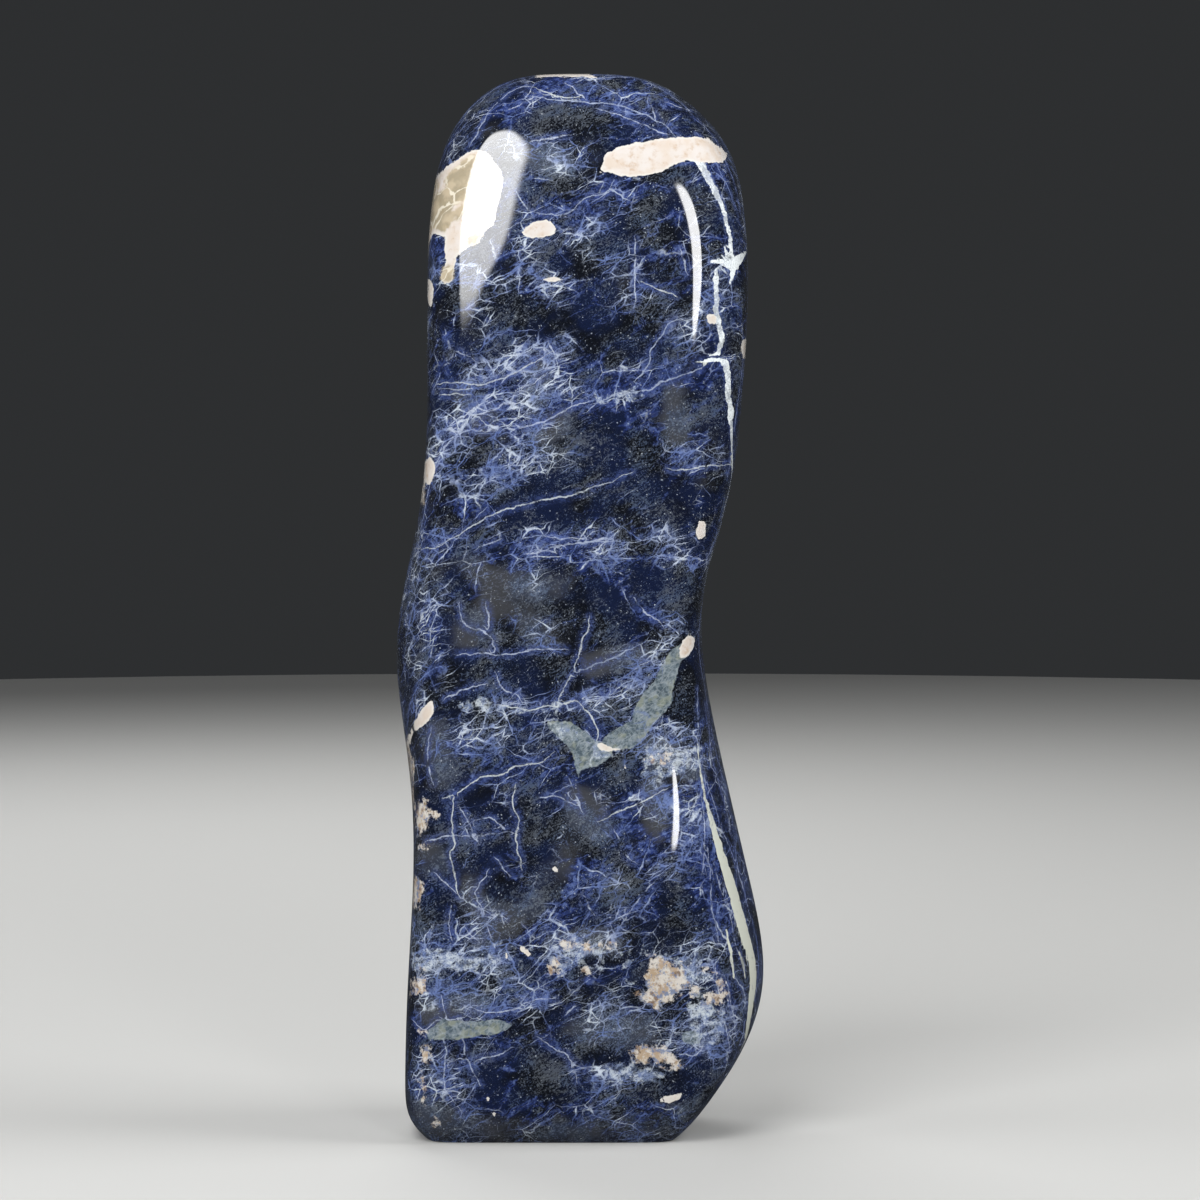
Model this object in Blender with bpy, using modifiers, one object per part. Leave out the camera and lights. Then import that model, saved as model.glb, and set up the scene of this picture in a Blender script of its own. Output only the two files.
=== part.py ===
"""A polished standing freeform of sodalite: one stone, ground flat underneath so that it stands.

The stone is a tall slab with a flat front, a domed top, a waist that leans to its left, and a belly low on
its right side. Seen from the front, +X is to the right, -Y is towards the viewer and +Z is up. The origin is
the middle of the stone's box, at the face that it stands on.

The form is a coarse cage of quads under a Subdivision Surface. Each level of the cage is a rounded outline
whose corners are read from the profiles below, so the profiles are the stone's driving dimensions.
"""

from collections import namedtuple

import bmesh
import bpy
from mathutils import Vector

MM = 0.001

# Driving dimensions. Each profile is a list of (height, distance) in millimetres, from the base upwards.

# Outermost reach of the left and the right side, seen from the front
LEFT_LIMB = (
    (-4, -41.5), (3, -50.0), (12, -50.3), (45, -49.4), (75, -47.0), (97, -48.2), (118, -52.6), (128, -54.6),
    (138, -55.4), (158, -51.2), (178, -45.3), (200, -42.8), (240, -43.6), (262, -43.0), (278, -40.9),
    (291, -34.2), (299, -23.0),
)
RIGHT_LIMB = (
    (-4, 24.5), (4, 32.7), (12, 39.1), (22, 48.4), (38, 55.8), (55, 54.9), (75, 49.6), (97, 44.2),
    (118, 38.9), (138, 34.9), (158, 35.2), (178, 43.4), (200, 45.8), (240, 48.5), (262, 47.6), (278, 45.6),
    (291, 35.2), (299, 21.5),
)

# Ridges where the flat front turns into the left and the right side
LEFT_RIDGE = (
    (-4, -38.0), (4, -46.8), (12, -48.4), (75, -46.4), (97, -45.4), (118, -43.2), (138, -42.2), (158, -43.0),
    (178, -43.6), (200, -42.8), (240, -42.6), (262, -40.6), (278, -36.0), (291, -26.0), (299, -14.0),
)
RIGHT_RIDGE = (
    (-4, 23.0), (4, 31.0), (12, 36.6), (22, 41.0), (38, 41.8), (55, 40.2), (75, 37.6), (97, 34.8),
    (118, 32.8), (138, 31.6), (158, 33.2), (178, 40.4), (200, 44.2), (240, 46.4), (262, 44.6), (278, 39.0),
    (291, 28.0), (299, 16.0),
)

# Corners where the two sides turn into the back
BACK_LEFT = (
    (-4, -32.0), (4, -38.0), (12, -40.4), (45, -41.0), (97, -41.5), (138, -46.5), (178, -38.5), (220, -34.0),
    (262, -33.0), (278, -30.0), (291, -23.0), (299, -13.0),
)
BACK_RIGHT = (
    (-4, 19.0), (4, 26.0), (12, 31.0), (38, 41.5), (55, 42.5), (97, 34.0), (138, 26.5), (178, 31.0),
    (220, 36.0), (262, 35.0), (278, 31.0), (291, 24.0), (299, 13.0),
)

# Front and back faces, seen from the side. Y is negative towards the viewer
FRONT_FACE = (
    (-4, -27.0), (3, -33.6), (12, -36.4), (45, -37.0), (97, -36.0), (128, -34.4), (152, -33.6), (178, -33.6),
    (220, -32.4), (250, -30.4), (270, -27.0), (286, -20.8), (299, -11.5),
)
BACK_FACE = (
    (-4, 21.8), (3, 28.8), (12, 31.6), (45, 34.0), (75, 32.6), (118, 27.6), (158, 24.6), (200, 25.8),
    (240, 25.8), (262, 24.4), (278, 21.4), (291, 15.8), (299, 9.0),
)

# How far the middle of the front and of the back stands out past their ridges
FRONT_CROWN = ((0, 0.4), (45, 1.0), (97, 0.8), (138, -0.6), (178, 0.6), (240, 1.6), (299, 1.0))
BACK_CROWN = ((0, 1.5), (45, 4.05), (97, 5.0), (138, 4.5), (200, 5.0), (262, 4.0), (299, 1.0))
BACK_SWELL = ((0, 0), (0.25, 0.8), (0.55, 1), (0.8, 0.6), (1, 0))  # (share of the width, share of the crown)

# How far each ridge's rounding reaches across the front
LEFT_ROUNDING = ((0, 9.0), (97, 9.0), (138, 12.0), (178, 13.0), (220, 22.0), (270, 22.0), (299, 9.0))
RIGHT_ROUNDING = ((0, 12.0), (55, 11.0), (138, 13.0), (178, 19.0), (220, 24.0), (270, 20.0), (299, 9.0))

# How far each side's rounding reaches back from the front, as a share of the depth
SIDE_ROUNDING = ((0, 0.24), (97, 0.26), (178, 0.32), (220, 0.36), (299, 0.33))
LIMB_DEPTH = 0.68  # where each side is widest, as a share of the depth from the front
ROUNDING_REACH = 2 / 3  # how far the rounding's end stands out, as a share of the way from ridge to limb

CAGE_HEIGHTS = (-4, 4, 12, 22, 38, 55, 75, 97, 118, 138, 158, 178, 200, 222, 244, 262, 278, 291, 299)
TOP_CROWN = 1.1  # how far the cage's top face stands above its rim
COLUMNS = 4  # cage faces across the front
ROWS = 3  # cage faces across a side
SMOOTHING_LEVELS = 2
BASE_CUTTER = (200.0, 200.0, 12.0)  # a block whose top is the plane that the base is ground to

SODALITE_BLUE = (0.022, 0.035, 0.115, 1.0)
POLISH_ROUGHNESS = 0.12

Outline = namedtuple("Outline", "front right back left")


def along(profile, height):
    """The profile's distance at that height, on a smooth curve through its points."""
    heights = [point[0] for point in profile]
    values = [point[1] for point in profile]
    if height <= heights[0]:
        return values[0]
    if height >= heights[-1]:
        return values[-1]
    upper = next(i for i, h in enumerate(heights) if h > height)
    lower = upper - 1
    span = heights[upper] - heights[lower]

    def slope(i):
        before, after = max(i - 1, 0), min(i + 1, len(heights) - 1)
        return (values[after] - values[before]) / (heights[after] - heights[before])

    t = (height - heights[lower]) / span
    return (
        (2 * t**3 - 3 * t**2 + 1) * values[lower]
        + (t**3 - 2 * t**2 + t) * span * slope(lower)
        + (3 * t**2 - 2 * t**3) * values[upper]
        + (t**3 - t**2) * span * slope(upper)
    )


def outline_at(height):
    """The cage's outline at that height, as four rows of (x, y) points that share their corners."""
    front, back = along(FRONT_FACE, height), along(BACK_FACE, height)
    depth = back - front
    near = front + along(SIDE_ROUNDING, height) * depth
    far = front + LIMB_DEPTH * depth
    left_ridge, right_ridge = along(LEFT_RIDGE, height), along(RIGHT_RIDGE, height)
    left_limb, right_limb = along(LEFT_LIMB, height), along(RIGHT_LIMB, height)
    back_left, back_right = along(BACK_LEFT, height), along(BACK_RIGHT, height)
    front_row = (
        (left_ridge, front),
        (left_ridge + along(LEFT_ROUNDING, height), front),
        ((left_ridge + right_ridge) / 2, front - along(FRONT_CROWN, height)),
        (right_ridge - along(RIGHT_ROUNDING, height), front),
        (right_ridge, front),
    )
    crown = along(BACK_CROWN, height)
    back_row = tuple(
        (back_left + share * (back_right - back_left), back + swell * crown) for share, swell in BACK_SWELL
    )
    left_row = (
        front_row[0],
        (left_ridge + ROUNDING_REACH * (left_limb - left_ridge), near),
        (left_limb, far),
        back_row[0],
    )
    right_row = (
        front_row[-1],
        (right_ridge + ROUNDING_REACH * (right_limb - right_ridge), near),
        (right_limb, far),
        back_row[-1],
    )
    return Outline(front_row, right_row, back_row, left_row)


def point_inside(outline, column, row):
    """The outline's point at that column and row, blended from its four sides where it lies inside them."""
    across, deep = column / COLUMNS, row / ROWS
    sides = [
        (1 - deep) * outline.front[column][k]
        + deep * outline.back[column][k]
        + (1 - across) * outline.left[row][k]
        + across * outline.right[row][k]
        for k in range(2)
    ]
    corners = [
        (1 - deep) * ((1 - across) * outline.front[0][k] + across * outline.front[-1][k])
        + deep * ((1 - across) * outline.back[0][k] + across * outline.back[-1][k])
        for k in range(2)
    ]
    return sides[0] - corners[0], sides[1] - corners[1]


def stone_cage():
    """The cage as a bmesh: a box divided into columns, rows and levels, each level set to its outline."""
    levels = len(CAGE_HEIGHTS) - 1
    cage = bmesh.new()
    bmesh.ops.create_cube(cage, size=1.0)
    bmesh.ops.translate(cage, verts=cage.verts, vec=(0.5, 0.5, 0.5))
    for axis, faces in enumerate((COLUMNS, ROWS, levels)):
        for step in range(1, faces):
            cut = Vector((0, 0, 0))
            cut[axis] = step / faces
            normal = Vector((0, 0, 0))
            normal[axis] = 1
            everything = cage.verts[:] + cage.edges[:] + cage.faces[:]
            bmesh.ops.bisect_plane(cage, geom=everything, plane_co=cut, plane_no=normal)
    outlines = [outline_at(height) for height in CAGE_HEIGHTS]
    for vertex in cage.verts:
        column, row, level = (
            round(vertex.co[0] * COLUMNS),
            round(vertex.co[1] * ROWS),
            round(vertex.co[2] * levels),
        )
        x, y = point_inside(outlines[level], column, row)
        inside = 0 < column < COLUMNS and 0 < row < ROWS
        crown = TOP_CROWN if inside and level == levels else 0
        vertex.co = Vector((x, y, CAGE_HEIGHTS[level] + crown)) * MM
    return cage


def polished_blue():
    """A dark blue, glossy stone finish."""
    material = bpy.data.materials.new("polished_sodalite")
    material.use_nodes = True
    shader = material.node_tree.nodes["Principled BSDF"]
    shader.inputs["Base Color"].default_value = SODALITE_BLUE
    shader.inputs["Roughness"].default_value = POLISH_ROUGHNESS
    shader.inputs["Metallic"].default_value = 0.0
    return material


def collection_named(name):
    made = bpy.data.collections.new(name)
    bpy.context.scene.collection.children.link(made)
    return made


def object_from(name, shape, home):
    """An object of that name, in that collection, from a bmesh."""
    mesh = bpy.data.meshes.new(name)
    shape.to_mesh(mesh)
    shape.free()
    made = bpy.data.objects.new(name, mesh)
    home.objects.link(made)
    return made


def base_cutter(home):
    """The block that cuts the stone off at its base."""
    size = Vector(BASE_CUTTER) * MM
    block = bmesh.new()
    bmesh.ops.create_cube(block, size=1.0)
    bmesh.ops.scale(block, verts=block.verts, vec=size)
    bmesh.ops.translate(block, verts=block.verts, vec=(0, 0, -size.z / 2))
    cutter = object_from("base_cutter", block, home)
    cutter.hide_render = True
    cutter.display_type = "WIRE"
    return cutter


def build():
    for old in list(bpy.data.objects):
        bpy.data.objects.remove(old)
    parts = collection_named("sodalite_freeform")
    cutters = collection_named("cutters")

    stone = object_from("sodalite", stone_cage(), parts)
    stone.data.shade_smooth()
    stone.data.materials.append(polished_blue())

    smooth = stone.modifiers.new("polish", "SUBSURF")
    smooth.levels = SMOOTHING_LEVELS
    smooth.render_levels = SMOOTHING_LEVELS

    grind = stone.modifiers.new("ground base", "BOOLEAN")
    grind.operation = "DIFFERENCE"
    grind.object = base_cutter(cutters)


build()
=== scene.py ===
from collections import namedtuple
from math import cos, exp, hypot, pi, radians, sin
from random import Random

import bmesh
import bpy
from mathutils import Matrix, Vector, noise
from mathutils.bvhtree import BVHTree
from mathutils.kdtree import KDTree


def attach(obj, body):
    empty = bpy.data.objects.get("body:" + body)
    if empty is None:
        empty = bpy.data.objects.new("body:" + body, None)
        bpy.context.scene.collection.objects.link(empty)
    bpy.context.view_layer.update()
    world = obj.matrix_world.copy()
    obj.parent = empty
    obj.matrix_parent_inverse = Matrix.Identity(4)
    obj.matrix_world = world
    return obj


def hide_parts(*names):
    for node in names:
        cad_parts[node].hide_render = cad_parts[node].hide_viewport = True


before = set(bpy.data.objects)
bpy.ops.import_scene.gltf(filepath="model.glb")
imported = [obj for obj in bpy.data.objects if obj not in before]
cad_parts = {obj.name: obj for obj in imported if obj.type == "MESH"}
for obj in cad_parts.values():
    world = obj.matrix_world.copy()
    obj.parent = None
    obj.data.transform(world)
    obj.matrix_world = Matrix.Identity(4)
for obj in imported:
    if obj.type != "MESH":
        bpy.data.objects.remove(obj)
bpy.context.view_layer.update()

MM = 0.001

# The camera. It stands where the photograph was taken from: in front of the stone's flat face and a
# little above its middle. The markings further down are cast onto the stone from the same place.
camera_aim = Vector((5.7, 0.0, 150.9)) * MM
camera_distance = 1600 * MM
camera_rise = radians(3.5)
photo_width = 1200  # pixels of the photograph, which is as wide as it is high
scale_at_aim = 0.2847 * MM  # of one pixel of the photograph
sensor_width = 36.0

towards_camera = Vector((0, -cos(camera_rise), sin(camera_rise)))
camera_up = Vector((0, sin(camera_rise), cos(camera_rise)))
camera_place = camera_aim + towards_camera * camera_distance
pixels_deep = camera_distance / scale_at_aim  # the photograph's distance from the lens, in its pixels

camera_lens = bpy.data.cameras.new("camera")
camera_lens.sensor_width = sensor_width
camera_lens.lens = sensor_width * pixels_deep / photo_width
camera_lens.clip_start = 0.05
camera_lens.clip_end = 20
camera = bpy.data.objects.new("camera", camera_lens)
camera.location = camera_place
camera.rotation_euler = towards_camera.to_track_quat("Z", "Y").to_euler()
bpy.context.scene.collection.objects.link(camera)
bpy.context.scene.camera = camera


# The stone. One lump of sodalite, ground flat underneath and polished all over by hand, so its faces
# run into each other without an edge and are very slightly wavy.
SMOOTHING_LEVELS = 2
GROUND_RIM = 0.01 * MM  # what is lower than this is the ground base
# The waves in the front: across, up, half the width, half the height, and how far each stands out, in
# millimetres
WAVES = (
    (-18.6, 285, 9, 19, 0.62), (-17.5, 250, 10, 12, 0.40), (31, 240, 14, 15, 0.95), (25, 110, 12, 16, -1.6),
    (19, 72, 10, 16, 1.5),
)


def merged_copy(node):
    """A bmesh copy of the node's mesh with its loose triangles joined up, mostly into four-sided faces."""
    joined = bmesh.new()
    joined.from_mesh(node.data)
    bmesh.ops.remove_doubles(joined, verts=joined.verts, dist=0.001 * MM)
    ground = [face for face in joined.faces if all(v.co.z < GROUND_RIM for v in face.verts)]
    bmesh.ops.dissolve_faces(joined, faces=ground)
    triangles = [face for face in joined.faces if len(face.verts) == 3]
    bmesh.ops.join_triangles(joined, faces=triangles, angle_face_threshold=0.6, angle_shape_threshold=0.9)
    return joined


blank = merged_copy(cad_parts["sodalite"])
crease = blank.edges.layers.float.new("crease_edge")
for edge in blank.edges:
    if all(v.co.z < GROUND_RIM for v in edge.verts):
        edge[crease] = 1.0
blank_mesh = bpy.data.meshes.new("blank")
blank.to_mesh(blank_mesh)
blank.free()
blank_stone = bpy.data.objects.new("blank", blank_mesh)
bpy.context.scene.collection.objects.link(blank_stone)
rounding = blank_stone.modifiers.new("rounding", "SUBSURF")
rounding.levels = SMOOTHING_LEVELS
rounding.render_levels = SMOOTHING_LEVELS
bpy.context.view_layer.update()
rounded = blank_stone.evaluated_get(bpy.context.evaluated_depsgraph_get())
stone_mesh = bpy.data.meshes.new_from_object(rounded)
bpy.data.objects.remove(blank_stone)

polish = bmesh.new()
polish.from_mesh(stone_mesh)
polish.normal_update()
for face in polish.faces:
    face.smooth = True
for vertex in polish.verts:
    facing_front = min(1, max(0, -2 * vertex.normal.y - 0.4))
    proud = 0
    for across, up, wide, high, stands_out in WAVES:
        away = hypot((vertex.co.x / MM - across) / wide, (vertex.co.z / MM - up) / high)
        proud += stands_out * exp(-away * away / 2)
    vertex.co += vertex.normal * proud * facing_front * MM
polish.normal_update()
for edge in polish.edges:
    if all(v.co.z < GROUND_RIM for v in edge.verts):
        grounded = [face.normal.z < -0.9 for face in edge.link_faces]
        edge.smooth = all(grounded) or not any(grounded)
polish.to_mesh(stone_mesh)
stone_mesh.name = "sodalite_stone"
stone = bpy.data.objects.new("sodalite_stone", stone_mesh)
bpy.context.scene.collection.objects.link(stone)

# The markings. Most are mineral colour inside the polished stone: healed cracks, inclusions of feldspar and
# calcite, and zones where the blue is deeper or clouded. Some of the grey haze is a painted reflection of the
# soft boxes and the floor. On the front they are placed by the photograph's pixels, and on the sides and the
# back by millimetres across and up, as seen square on from there.
NOISE_SEED = 7  # without one the noise vectors start from the clock, and no two runs are alike
noise.seed_set(NOISE_SEED)
skin = BVHTree.FromBMesh(polish)
points = [v.co.copy() for v in polish.verts]
normals = [v.normal.copy() for v in polish.verts]
polish.free()

# A view that markings are placed in. Its ray runs from a place in the view towards the stone, place is where
# a point of the stone is seen, faces is how squarely it is seen, and scale is millimetres to the view's unit.
View = namedtuple("View", "ray place faces scale")
PHOTO_SCALE = 0.2785  # millimetres to a pixel, at the stone's front
SIDE_HORIZON = 0.5  # how squarely the stone is seen where a side's own markings end


def photo_ray(across, down):
    middle = photo_width / 2
    reach = Vector((across - middle, 0, 0)) - camera_up * (down - middle) - towards_camera * pixels_deep
    return camera_place, reach.normalized()


def photo_place(point):
    reach = point - camera_place
    depth = -reach.dot(towards_camera)
    middle = photo_width / 2
    return middle + pixels_deep * reach.x / depth, middle - pixels_deep * reach.dot(camera_up) / depth


def square_view(turn):
    """A view of the stone from a side, square on, that is turned that far round it from the front."""
    outwards = Vector((sin(turn), -cos(turn), 0))
    right = Vector((cos(turn), sin(turn), 0))

    def ray(across, up):
        return outwards + (right * across + Vector((0, 0, up))) * MM, -outwards

    def place(point):
        return point.dot(right) / MM, point.z / MM

    return View(ray, place, lambda point, normal: normal.dot(outwards) - SIDE_HORIZON, 1.0)


photo = View(
    photo_ray,
    photo_place,
    lambda point, normal: normal.dot((camera_place - point).normalized()),
    PHOTO_SCALE,
)
right_side = square_view(radians(90))
back_side = square_view(radians(180))
left_side = square_view(radians(270))


def on_stone(view, across, up):
    """The place and the normal where that view sees the stone, or the nearest place on its outline."""
    start, along = view.ray(across, up)
    place, normal, _, _ = skin.ray_cast(start, along)
    if place is None:
        closest = start + along * (Vector((0, 0, 0)) - start).dot(along)
        place, normal, _, _ = skin.find_nearest(closest)
    return place, normal


def smooth_route(route, step):
    """Points a step apart, on a smooth curve through the route's points."""
    made = []
    for i in range(len(route) - 1):
        before, start = route[max(i - 1, 0)], route[i]
        end, after = route[i + 1], route[min(i + 2, len(route) - 1)]
        count = max(1, round(hypot(end[0] - start[0], end[1] - start[1]) / step))
        for k in range(count):
            t = k / count
            made.append(tuple(
                0.5 * (2 * start[n] + (end[n] - before[n]) * t
                       + (2 * before[n] - 5 * start[n] + 4 * end[n] - after[n]) * t * t
                       + (3 * start[n] - before[n] - 3 * end[n] + after[n]) * t ** 3)
                for n in range(len(start))
            ))
    made.append(tuple(route[-1]))
    return made


# Veins: each is a route, its width in the middle in millimetres, and how white it is from 0 to 1. A route
# whose points have a third number gives its own width there.
VEIN_STEP = 0.35
VEIN_WANDER = 0.32  # how far a healed crack strays from its route
VEIN_TIP = 0.35  # how wide a vein's tips are, as a share of its middle
VEIN_REACH = 6.0  # how far from a vein the mesh keeps its distance
NO_VEIN = (9.0, 9.0, 0.0)
vein_samples = {"bold": [], "fine": []}


def vein(kind, view, routes, width, white):
    for route in routes:
        line = smooth_route(route, VEIN_STEP / view.scale)
        laid = []
        for i, spot in enumerate(line):
            share = i / max(1, len(line) - 1)
            taper = min(1, VEIN_TIP + 3 * share, VEIN_TIP + 3 * (1 - share))
            broad = spot[2] if len(spot) > 2 else width * taper
            place, normal = on_stone(view, spot[0], spot[1])
            wander = noise.noise_vector(place / (2.2 * MM)) + 0.5 * noise.noise_vector(place / (0.9 * MM))
            wander -= normal * wander.dot(normal)
            laid.append([place + wander * VEIN_WANDER * MM, normal, broad / 2, white])
        for i, sample in enumerate(laid):
            ahead = laid[min(i + 1, len(laid) - 1)][0] - laid[max(i - 1, 0)][0]
            sample.append(ahead.normalized())
        vein_samples[kind] += laid


# The white vein down the right of the front, and the cream one on the right flank
WHITE_VEIN = (
    ((694, 160, 1.2), (702, 164, 2.6), (708, 178, 2.6), (715, 190, 2.2), (722, 206, 1.9),
     (728, 226, 1.7), (731, 244, 1.9), (730, 262, 2.4)),
    ((714, 262, 0.8), (722, 262, 2.2), (731, 264, 4.2), (739, 260, 3.6), (746, 252, 1.0)),
    ((726, 250, 0.8), (730, 262, 2.6), (733, 270, 2.8), (731, 280, 0.6)),
    ((715.6, 276, 1.5), (716.5, 296, 1.8), (716, 313, 1.9), (720, 328, 1.7), (722, 341, 2.0),
     (719, 352, 1.4)),
    ((700, 362, 0.8), (713, 360, 1.3), (726, 361, 1.6)),
    ((726, 362, 2.6), (728, 380, 2.5), (729, 398, 2.4), (731, 412, 3.6), (731, 424, 2.4),
     (732, 445, 1.6), (732, 471, 1.2), (729, 490, 0.9), (724, 510, 0.7), (717, 539, 0.4)),
)
vein("bold", photo, WHITE_VEIN, width=1, white=1.0)
CREAM_VEIN = (
    ((698, 747, 0.5), (701, 775, 0.8), (705, 796, 1.2), (709, 812, 2.4), (714, 829, 3.8),
     (720, 850, 5.4), (726, 870, 7.0), (732.6, 889, 8.4), (738, 910, 8.8), (744, 931, 9.0),
     (749, 948, 8.0), (753, 967, 8.4), (753, 986, 8.0), (750, 1013, 6.6), (746, 1037, 4.2),
     (742, 1047, 1.6)),
    ((727, 934, 0.9), (731, 952, 1.6), (734, 974, 0.8)),
    ((740, 955, 0.8), (743, 964, 1.6), (745, 974, 0.8)),
)
vein("bold", photo, CREAM_VEIN, width=1, white=0.86)

# The long healed cracks across the front
LONG_CRACKS = (
    ((414, 548), (432, 548), (445, 542), (461, 533), (479, 522), (492, 515), (511, 508), (530, 503),
     (556, 497), (571, 496), (592, 488), (611, 482), (620, 477), (631, 472)),
    ((668, 469), (682, 470), (694, 468), (710, 465), (730, 464.6)),
    ((589, 617), (588, 631), (581, 642), (579, 657), (569, 679), (560, 696), (560, 703)),
    ((438, 384), (456, 383), (479, 385), (496, 380), (515, 373), (534, 362), (551, 353)),
    ((441, 395), (455, 394), (469, 395)),
)
vein("bold", photo, LONG_CRACKS, width=0.4, white=0.5)
BRANCHED_CRACKS = (
    ((498, 705), (515, 708), (530, 710), (549, 706), (562, 706), (569, 701), (579, 701), (586, 697)),
    ((583, 705), (593, 719), (598, 733), (597, 742)),
    ((444, 798), (461, 791), (474, 782), (484, 776), (502, 775), (512, 768), (528, 764), (543, 761),
     (554, 752)),
    ((516, 785), (512, 804), (519, 821), (517, 834), (517, 846), (520, 859), (521, 869)),
    ((454, 798), (452, 816), (454, 846), (451, 854), (456, 883), (459, 896)),
    ((599, 821), (619, 811), (641, 802), (658, 794), (667, 789)), ((534, 87), (562, 97), (580, 96)),
    ((643, 283), (654, 288), (675, 296)),
)
vein("bold", photo, BRANCHED_CRACKS, width=0.45, white=0.55)
BLUE_CRACKS = (
    ((540, 214), (560, 215), (575, 208), (585, 199), (598, 195), (608, 193), (613, 182)),
    ((611, 188), (621, 196), (628, 199)), ((502, 99), (517, 88), (534, 87)),
    ((535, 97), (566, 101), (607, 104), (634, 110), (659, 122), (672, 132), (680, 139)),
    ((496, 104), (488, 113), (480, 128), (470, 146)),
    ((592, 404), (621, 393), (649, 390), (662, 382), (675, 378), (687, 374), (700, 368)),
    ((631, 382), (644, 371), (649, 362), (652, 348), (661, 337), (667, 327), (675, 319)),
    ((548, 549), (566, 545), (590, 542), (612, 541)), ((579, 671), (594, 665), (607, 660), (631, 650)),
)
vein("bold", photo, BLUE_CRACKS, width=0.45, white=0.3)

# Finer cracks between them, most of them only a hair wide
UPPER_HAIRLINES = (
    ((468, 425), (478, 415), (491, 410), (509, 402), (517, 390), (533, 384), (546, 374)),
    ((454, 429), (469, 411), (486, 402)), ((474, 431), (505, 430), (537, 424), (572, 407), (590, 401)),
    ((445, 329), (451, 347), (458, 352), (475, 360)), ((456, 352), (447, 361)),
    ((548, 342), (554, 352), (557, 362)), ((681, 251), (687, 272)), ((635, 240), (635, 301)),
    ((511, 108), (519, 105), (535, 97)), ((599, 110), (620, 115), (642, 124), (668, 135)),
    ((567, 84), (584, 98)), ((652, 107), (657, 121)), ((668, 103), (690, 111)),
    ((520, 145), (547, 139), (570, 135)), ((517, 194), (524, 204), (531, 213)),
)
vein("fine", photo, UPPER_HAIRLINES, width=0.42, white=0.8)
MIDDLE_HAIRLINES = (
    ((477, 548), (500, 539)), ((548, 537), (570, 539), (590, 539)), ((549, 550), (565, 556)),
    ((528, 555), (548, 550), (566, 545)), ((459, 604), (463, 623), (472, 628), (488, 634), (498, 655)),
    ((486, 604), (489, 617), (488, 634)), ((456, 655), (484, 653), (502, 655), (531, 650), (566, 649)),
    ((445, 699), (461, 691), (477, 686), (489, 684)), ((495, 674), (502, 688), (516, 694), (523, 702)),
    ((635, 600), (648, 614), (662, 624)), ((636, 668), (649, 661)),
    ((431, 730), (428, 753), (429, 770), (433, 782)), ((460, 809), (469, 823), (478, 844)),
    ((472, 822), (489, 817), (500, 825), (508, 832), (517, 833)),
    ((426, 842), (449, 836), (474, 836), (505, 832)), ((496, 859), (509, 875)),
    ((488, 871), (478, 887), (475, 893), (482, 909)), ((451, 908), (449, 923), (451, 938)),
    ((435, 874), (455, 891)), ((569, 780), (574, 791), (582, 812)),
    ((539, 799), (556, 795), (571, 791)), ((556, 795), (572, 804)),
)
vein("fine", photo, MIDDLE_HAIRLINES, width=0.4, white=0.75)
LOWER_HAIRLINES = (
    ((639, 791), (640, 801), (654, 816)), ((613, 830), (622, 843), (627, 856), (636, 863)),
    ((610, 924), (622, 917), (634, 906), (644, 894), (651, 885), (661, 878)), ((584, 898), (594, 913)),
    ((489, 917), (496, 915), (505, 918)), ((466, 929), (479, 942)), ((488, 929), (495, 947)),
    ((413, 1021), (424, 1029), (437, 1021), (459, 1018), (469, 1014)),
    ((466, 1005), (484, 1012), (507, 1011), (517, 1009), (530, 1001), (554, 998)),
    ((442, 998), (444, 1016), (443, 1032), (446, 1050), (444, 1083), (449, 1094), (461, 1111)),
    ((459, 1019), (465, 1050), (472, 1070), (479, 1084)),
    ((473, 1063), (484, 1057), (497, 1055), (511, 1048)), ((446, 1063), (465, 1058)),
    ((538, 1038), (553, 1047), (566, 1055), (572, 1062), (586, 1069)), ((571, 1062), (577, 1081)),
    ((575, 992), (589, 980)), ((566, 1013), (575, 1006)),
    ((682, 1054), (697, 1055), (704, 1040), (700, 1034)),
)
vein("fine", photo, LOWER_HAIRLINES, width=0.4, white=0.75)

# Streaks down the right flank, along its slope
FLANK_STREAKS = (
    ((701, 610), (699, 635), (700, 660), (706, 695), (710, 722)),
    ((697.5, 690), (698, 720), (700, 755)),
    ((705, 705), (709, 730), (711, 752), (718, 780), (725, 805)),
    ((712, 732), (719, 765), (729, 798), (736, 830), (745, 862), (752, 890)),
    ((704, 776), (715, 806), (722, 830), (733, 855), (741, 878), (747, 904), (754, 930)),
    ((702, 800), (705, 835), (702, 872)), ((708, 850), (711, 885), (713, 912), (719, 942)),
    ((713, 862), (722, 892), (730, 915), (734, 938), (741, 960)), ((723, 880), (729, 905), (738, 925)),
    ((734, 978), (743, 990), (746, 1010), (743, 1030)), ((726, 980), (732, 1008), (736, 1035)),
    ((715, 965), (719, 998), (726, 1027), (730, 1050)), ((728, 842), (738, 872), (745, 896)),
)
vein("fine", photo, FLANK_STREAKS, width=0.45, white=0.7)

# Inclusions: closed outlines, filled. The value kept is how far inside its outline a place is.
INCLUSION_REACH = 4.0
HORIZON = -0.15  # how far round the stone's edge an inclusion may reach
HORIZON_FADE = 24.0  # how fast an inclusion tapers off where its view sees the stone edge on
RAGGED_STEP = 1.5
RAGGED_PUSH = 2.6
BLOB_CORNERS = 10
BLOB_BULGE = 0.22
INCLUSIONS = ("cream", "tan", "stained", "milky", "grey")
inclusion_depth = {kind: [-INCLUSION_REACH] * len(points) for kind in INCLUSIONS}


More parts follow.
